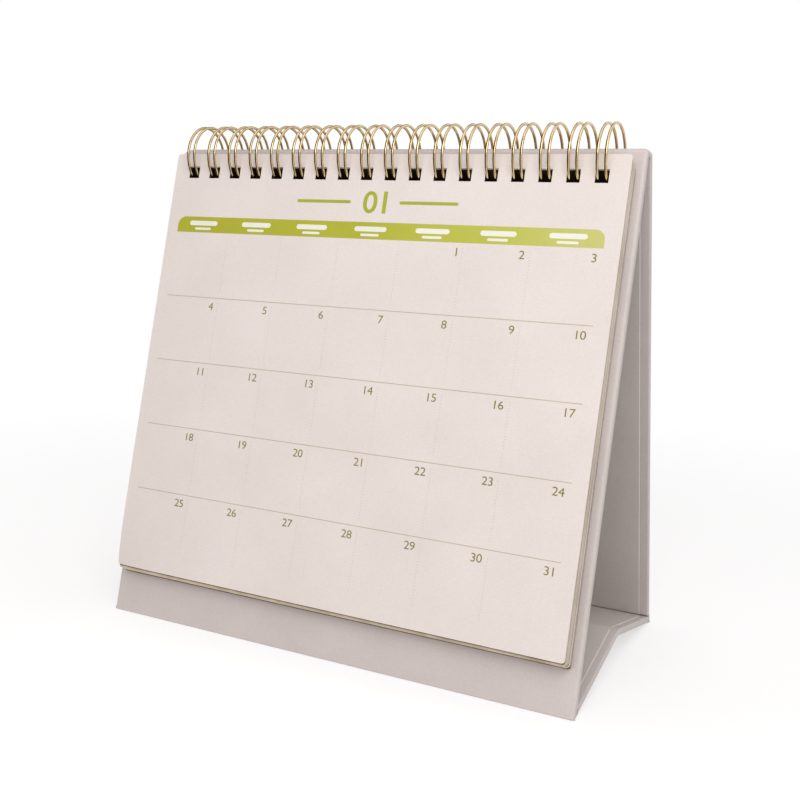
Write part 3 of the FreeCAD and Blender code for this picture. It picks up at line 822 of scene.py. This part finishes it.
def add_leaf_block():
    """The other months' leaves as separate sheets, hanging in groups, and the backing leaf."""
    low, high = span("leaf_block", FRONT)
    count = sum(number for number, _share, _edge in LEAF_GROUPS)
    pitch = (high.z - low.z) / count
    shuffle = random.Random(LEAF_SEED)
    index = 0
    for number, drop_share, edge in LEAF_GROUPS:
        bottom = LEAF_LOW.y - LEAF_DROP * drop_share
        for _leaf in range(number):
            shift = shuffle.uniform(-LEAF_SHIFT, LEAF_SHIFT)
            place = Vector((shift, bottom, high.z - index * pitch))
            index += 1
            name = f"leaf_{index + 1:02d}"
            # Painted shade on the face round the holes of every leaf behind but the first.
            beside = LEAF_CARD if index == 1 else PAINTED_HOLE_SHADE
            leaf = loose_leaf(name, place, 1 - index / count, LEAF_EDGES[edge], beside)
            add_thickness(leaf, pitch - LEAF_GAP, rim=1)
            settle(leaf, "leaf_block", "leaf_card", "leaf_block")
    low, high = span("back_leaf", FRONT)
    place = Vector((0, low.y, high.z))
    # The backing leaf's dark edge is painted shade for the gap behind the pad.
    leaf = loose_leaf("backing_leaf", place, 0.0, LEAF_EDGES["dark"], PAINTED_HOLE_SHADE)
    add_thickness(leaf, high.z - low.z, rim=1)
    settle(leaf, "leaf_block", "leaf_card", "back_leaf")


# ---------------------------------------------------------------- print


class Print:
    """Thin raised shapes that follow the leaf on show, gathered into one piece."""

    def __init__(self, name, material):
        self.name, self.material = name, material
        self.vertices, self.faces = [], []

    def add(self, points, faces, rise=INK):
        """Add a flat shape, given by points on the leaf and its faces, as a closed thin solid."""
        start, count = len(self.vertices), len(points)
        self.vertices += [on_leaf(x, y, rise) for x, y in points]
        self.vertices += [on_leaf(x, y, -INK) for x, y in points]
        edges = []
        for face in faces:
            self.faces.append([start + index for index in face])
            self.faces.append([start + count + index for index in reversed(face)])
            edges += zip(face, [*face[1:], face[0]])
        shared = set(edges)
        for first, second in edges:
            if (second, first) not in shared:
                lower = (start + count + first, start + count + second)
                self.faces.append([start + second, start + first, *lower])

    def bar(self, left, bottom, width, height):
        """Straight bar, divided into short parts so that it can follow the leaf."""
        across = max(1, round(width / BAR_STEP))
        up = max(1, round(height / BAR_STEP))
        xs = [left + width * i / across for i in range(across + 1)]
        points = [(x, bottom + height * j / up) for j in range(up + 1) for x in xs]
        self.add(points, grid_faces(up + 1, across + 1))

    def pill(self, left, bottom, width, height, rise=INK):
        """Bar with round ends."""
        radius = height / 2
        points = []
        for side, centre in ((1, left + width - radius), (-1, left + radius)):
            for step in range(PILL_STEPS + 1):
                angle = math.pi * step / PILL_STEPS - math.pi / 2
                x = centre + side * radius * math.cos(angle)
                y = bottom + radius + side * radius * math.sin(angle)
                points.append((x, y))
        self.add(points, [tuple(range(len(points)))], rise)

    def finish(self, body, slot):
        """Make the piece and let it ride on its body."""
        piece = make_object(self.name, self.vertices, self.faces, [self.material], smooth=False)
        settle(piece, body, slot)


def text_shape(text, height, stroke=0.0):
    """Flat mesh of plain numerals of a given height: its points, faces and width."""
    curve = bpy.data.curves.new("numerals", "FONT")
    curve.body = text
    curve.resolution_u = 4
    curve.offset = stroke
    curve.space_character = NUMERAL_SPACING
    holder = bpy.data.objects.new("numerals", curve)
    bpy.context.scene.collection.objects.link(holder)
    bpy.context.view_layer.update()
    shown = holder.evaluated_get(bpy.context.evaluated_depsgraph_get())
    mesh = bpy.data.meshes.new_from_object(shown)
    low_x = min(vertex.co.x for vertex in mesh.vertices)
    low_y = min(vertex.co.y for vertex in mesh.vertices)
    scale = height / (max(vertex.co.y for vertex in mesh.vertices) - low_y)
    stretch = scale * NUMERAL_STRETCH
    places = [vertex.co for vertex in mesh.vertices]
    points = [((place.x - low_x) * stretch, (place.y - low_y) * scale) for place in places]
    faces = [tuple(polygon.vertices) for polygon in mesh.polygons]
    bpy.data.objects.remove(holder)
    bpy.data.curves.remove(curve)
    bpy.data.meshes.remove(mesh)
    return points, faces, max(x for x, _y in points)


def add_text(target, text, height, right, top):
    """Set numerals with their right end and top at a place on the leaf."""
    points, faces, width = text_shape(text, height)
    target.add([(right - width + x, top - height + y) for x, y in points], faces)


def add_band():
    """Coloured band above the days, with two rounded corners and plain bars where names would stand."""
    band = Print("weekday_band", BAND_INK_PAINTED_SHEEN)
    corner = []
    for step in range(BAND_CORNER_STEPS + 1):
        angle = math.pi / 2 * step / BAND_CORNER_STEPS
        corner.append(BAND_CORNER * (1 - math.cos(angle)))
    middle = BAND_WIDTH - 2 * BAND_CORNER
    straight = [BAND_CORNER + middle * step / BAND_STEPS for step in range(1, BAND_STEPS)]
    across = corner + straight + [BAND_WIDTH - inset for inset in reversed(corner)]
    points = []
    for x in across:
        inset = BAND_CORNER - min(x, BAND_WIDTH - x, BAND_CORNER)
        drop = BAND_CORNER - math.sqrt(BAND_CORNER**2 - inset**2)
        points += [(BAND_LEFT + x, BAND_BOTTOM), (BAND_LEFT + x, BAND_BOTTOM + BAND_HEIGHT - drop)]
    faces = [(first, first + 2, first + 3, first + 1) for first in range(0, len(points) - 2, 2)]
    band.add(points, faces)
    band.finish("front_leaf", "band_ink")
    bars = Print("weekday_bars", BAR_INK)
    for column in range(COLUMNS):
        centre = BAND_LEFT + COLUMN_WIDTH * (column + 0.5)
        for length, height, above in (NAME_BAR, SMALL_BAR):
            bars.pill(centre - length / 2, BAND_BOTTOM + above, length, height, 2 * INK)
    bars.finish("front_leaf", "leaf_card")


def add_days():
    """Ruled lines, dotted separators and the numbers of the days."""
    days = Print("day_numbers", NUMBER_INK)
    for day in range(1, DAYS + 1):
        row, column = divmod(FIRST_COLUMN + day - 1, COLUMNS)
        right = BAND_LEFT + COLUMN_WIDTH * (column + 1) - NUMBER_INSET
        top = BAND_BOTTOM - ROW_HEIGHT * row - NUMBER_DROP
        add_text(days, str(day), NUMBER_HEIGHT, right, top)
    days.finish("front_leaf", "number_ink")
    dots = Print("day_separators", LINE_INK)
    for row in range(1, ROWS):
        bottom = BAND_BOTTOM - ROW_HEIGHT * row - LINE_WIDTH / 2
        dots.bar(BAND_LEFT, bottom, BAND_WIDTH, LINE_WIDTH)
    dots_in_row = int((ROW_HEIGHT - 2 * DOT_MARGIN) / DOT_PITCH)
    for row in range(ROWS):
        top = BAND_BOTTOM - ROW_HEIGHT * row - DOT_MARGIN
        for column in range(1, COLUMNS):
            left = BAND_LEFT + COLUMN_WIDTH * column - DOT_SIZE / 2
            for index in range(dots_in_row):
                dots.pill(left, top - DOT_PITCH * index - DOT_SIZE, DOT_SIZE, DOT_SIZE)
    dots.finish("front_leaf", "number_ink")


def add_title():
    """Plain number of the month between two short rules."""
    title = Print("month_number", TITLE_INK)
    points, faces, width = text_shape("01", TITLE_HEIGHT, TITLE_STROKE)
    left = (LEAF_WIDTH - width) / 2
    title.add([(left + x, TITLE_BASE + y) for x, y in points], faces)
    length, height = TITLE_RULE
    bottom = TITLE_BASE + (TITLE_HEIGHT - height) / 2
    title.pill(left - TITLE_GAP - length, bottom, length, height)
    title.pill(left + width + TITLE_GAP, bottom, length, height)
    title.finish("front_leaf", "band_ink")


# ---------------------------------------------------------------- binding wire


def on_ring(x, angle):
    """Point of the loops' cylinder; the angle turns from down the front slope towards the back."""
    centre = FRONT.inverted() @ LOOP_CENTRE
    y = centre.y - LOOP_RADIUS * math.cos(angle)
    z = centre.z - LOOP_RADIUS * math.sin(angle)
    return FRONT @ Vector((x, y, z))


def arc_points(x, start, end, steps):
    """Evenly spaced (x, angle) pairs round one loop."""
    return [(x, start + (end - start) * step / steps) for step in range(steps + 1)]


def add_wire():
    """One wire bent into twin loops: round the back, over the top and down through the leaves."""
    half = TWIN_SPACING / 2
    tip = 2 * math.pi + TIP_ANGLE - half / LOOP_RADIUS
    bar_rise = WIRE_BEND / LOOP_RADIUS
    path = []
    for place in LOOP_PLACES:
        for side in (-1, 1):
            x = place + side * half
            corner = []
            for step in range(WIRE_BEND_STEPS + 1):
                angle = math.pi / 2 * step / WIRE_BEND_STEPS
                outwards = side * WIRE_BEND * (1 - math.sin(angle))
                corner.append((x + outwards, BAR_ANGLE + bar_rise * (1 - math.cos(angle))))
            ring = corner + arc_points(x, BAR_ANGLE + WIRE_BEND_SHARE * bar_rise, tip, RING_STEPS)
            if side < 0:
                path += ring
                for step in range(1, TIP_STEPS):
                    angle = math.pi - math.pi * step / TIP_STEPS
                    swing = half / LOOP_RADIUS * math.sin(angle)
                    path.append((place + half * math.cos(angle), tip + swing))
            else:
                path += ring[::-1]
    points = [on_ring(x, angle) for x, angle in path]
    curve = bpy.data.curves.new("binding_loops", "CURVE")
    curve.dimensions = "3D"
    curve.bevel_depth = WIRE_RADIUS
    curve.bevel_resolution = 3
    curve.use_fill_caps = True
    spline = curve.splines.new("POLY")
    spline.points.add(len(points) - 1)
    for target, point in zip(spline.points, points):
        target.co = (*point, 1)
    curve.materials.append(GOLD_WIRE)
    wire = bpy.data.objects.new("binding_loops", curve)
    bpy.context.scene.collection.objects.link(wire)
    settle(wire, "stand", "binding_wire", "binding_wire")


# ---------------------------------------------------------------- setting


def finish_cad_nodes():
    """Materials of the CAD nodes that stay."""
    finishes = {
        "front_board": GREY_BOARD,
        "back_board": GREY_BOARD,
        "base_front_board": GREY_BOARD,
        "base_rear_board": GREY_BOARD,
        "front_lining": LINING_PAPER,
        "back_lining": LINING_PAPER,
        "base_lining": LINING_PAPER,
    }
    for node, material in finishes.items():
        shown = frame["nodes"][node]
        shown.data.materials.clear()
        shown.data.materials.append(material)


def white_to_camera(tree, light_colour, light_strength):
    """Background shader: plain white to the camera and in reflections, with its own light on surfaces."""
    nodes = tree.nodes
    nodes.clear()
    output = nodes.new("ShaderNodeOutputWorld")
    seen, light = nodes.new("ShaderNodeBackground"), nodes.new("ShaderNodeBackground")
    seen.inputs["Color"].default_value = (1, 1, 1, 1)
    light.inputs["Color"].default_value = light_colour
    light.inputs["Strength"].default_value = light_strength
    mixer = nodes.new("ShaderNodeMixShader")
    tree.links.new(ray_share(tree), mixer.inputs[0])
    tree.links.new(light.outputs[0], mixer.inputs[1])
    tree.links.new(seen.outputs[0], mixer.inputs[2])
    tree.links.new(mixer.outputs[0], output.inputs[0])


def ray_share(tree):
    """1 for rays from the camera, reflections and transmission, 0 for light on surfaces."""
    path = tree.nodes.new("ShaderNodeLightPath")
    total = path.outputs["Is Camera Ray"]
    for kind in ("Is Glossy Ray", "Is Transmission Ray"):
        largest = tree.nodes.new("ShaderNodeMath")
        largest.operation = "MAXIMUM"
        tree.links.new(total, largest.inputs[0])
        tree.links.new(path.outputs[kind], largest.inputs[1])
        total = largest.outputs[0]
    return total


def add_floor():
    """Plain pale floor that keeps the object's shadow and fades to white away from it."""
    corners = [(x * FLOOR_REACH, y * FLOOR_REACH, 0) for x, y in ((-1, -1), (1, -1), (1, 1), (-1, 1))]
    floor = make_object("floor", corners, [(0, 1, 2, 3)], [], smooth=False)
    shader = Shader("floor", 0.9, specular=0.0)
    seen = ray_share(shader.tree)
    shader.colour(shader.mix(seen, FLOOR_LIGHT, FLOOR_SEEN))
    distance = shader.node("ShaderNodeVectorMath", operation="LENGTH")
    shader.link(shader.place, distance.inputs[0])
    fade = shader.node("ShaderNodeMapRange", interpolation_type="SMOOTHSTEP")
    for name, value in zip(("From Min", "From Max", "To Min", "To Max"), FLOOR_FADE):
        fade.inputs[name].default_value = value
    shader.link(distance.outputs["Value"], fade.inputs["Value"])
    share = shader.node("ShaderNodeMath", operation="MULTIPLY")
    shader.link(fade.outputs["Result"], share.inputs[0])
    shader.link(seen, share.inputs[1])
    white = shader.node("ShaderNodeEmission")
    white.inputs["Color"].default_value = (1, 1, 1, 1)
    blend = shader.node("ShaderNodeMixShader")
    shader.link(share.outputs[0], blend.inputs[0])
    shader.link(shader.surface.outputs[0], blend.inputs[1])
    shader.link(white.outputs[0], blend.inputs[2])
    shader.link(blend.outputs[0], shader.tree.nodes["Material Output"].inputs["Surface"])
    floor.data.materials.append(shader.material)


def add_dark_surround():
    """Dark table and wall round the front, left and back, which show only in reflections."""
    points = []
    for step in range(SURROUND_STEPS + 1):
        angle = SURROUND_START + (SURROUND_END - SURROUND_START) * step / SURROUND_STEPS
        outwards = Vector((-math.sin(angle), -math.cos(angle), 0))
        wall = outwards * SURROUND_FAR
        points += [outwards * SURROUND_NEAR, wall, wall + Vector((0, 0, SURROUND_HEIGHT))]
    lifted = [point + Vector((0, 0, MM)) for point in points]
    faces = grid_faces(SURROUND_STEPS + 1, 3)
    surround = make_object("dark_surround", lifted, faces, [], smooth=False)
    shader = Shader("dark surround", 0.9, specular=0.0)
    shader.surface.inputs["Base Color"].default_value = SURROUND_COLOUR
    surround.data.materials.append(shader.material)
    surround.visible_camera = False
    surround.visible_diffuse = False
    surround.visible_shadow = False
    surround.visible_transmission = False


def add_lamp(name, place, target, size, power, colour, reflected):
    """Soft square lamp aimed at a point; it may be kept out of reflections."""
    lamp = bpy.data.lights.new(name, "AREA")
    lamp.size = size
    lamp.energy = power
    lamp.color = colour
    holder = bpy.data.objects.new(name, lamp)
    holder.location = place
    holder.rotation_euler = (Vector(target) - Vector(place)).to_track_quat("-Z", "Y").to_euler()
    holder.visible_glossy = reflected
    bpy.context.scene.collection.objects.link(holder)


def add_camera():
    """Camera to the front right of the calendar, looking down a little and tilted."""
    level_forward = Vector((-math.sin(CAMERA_AZIMUTH), math.cos(CAMERA_AZIMUTH), 0))
    downwards = Vector((0, 0, -math.sin(CAMERA_ELEVATION)))
    forward = level_forward * math.cos(CAMERA_ELEVATION) + downwards
    level_right = Vector((math.cos(CAMERA_AZIMUTH), math.sin(CAMERA_AZIMUTH), 0))
    level_up = level_right.cross(forward)
    right = level_right * math.cos(CAMERA_ROLL) + level_up * math.sin(CAMERA_ROLL)
    up = level_up * math.cos(CAMERA_ROLL) - level_right * math.sin(CAMERA_ROLL)
    camera = bpy.data.cameras.new("camera")
    camera.sensor_width = CAMERA_SENSOR
    camera.lens = CAMERA_LENS
    camera.clip_start = CAMERA_CLIP
    holder = bpy.data.objects.new("camera", camera)
    turn = Matrix((right, up, -forward)).transposed().to_4x4()
    holder.matrix_world = Matrix.Translation(CAMERA_PLACE) @ turn
    bpy.context.scene.collection.objects.link(holder)
    bpy.context.scene.camera = holder


def add_setting():
    """Floor, white background, soft lamps, dark surround and camera."""
    add_floor()
    world = bpy.data.worlds.new("studio")
    world.use_nodes = True
    white_to_camera(world.node_tree, *SKY)
    bpy.context.scene.world = world
    for lamp in LAMPS:
        add_lamp(*lamp)
    add_dark_surround()
    bpy.context.scene.view_settings.view_transform = "Standard"
    add_camera()


add_cover()
add_cut_edges()
add_front_leaf()
add_leaf_block()
add_band()
add_days()
add_title()
add_wire()
finish_cad_nodes()
add_setting()
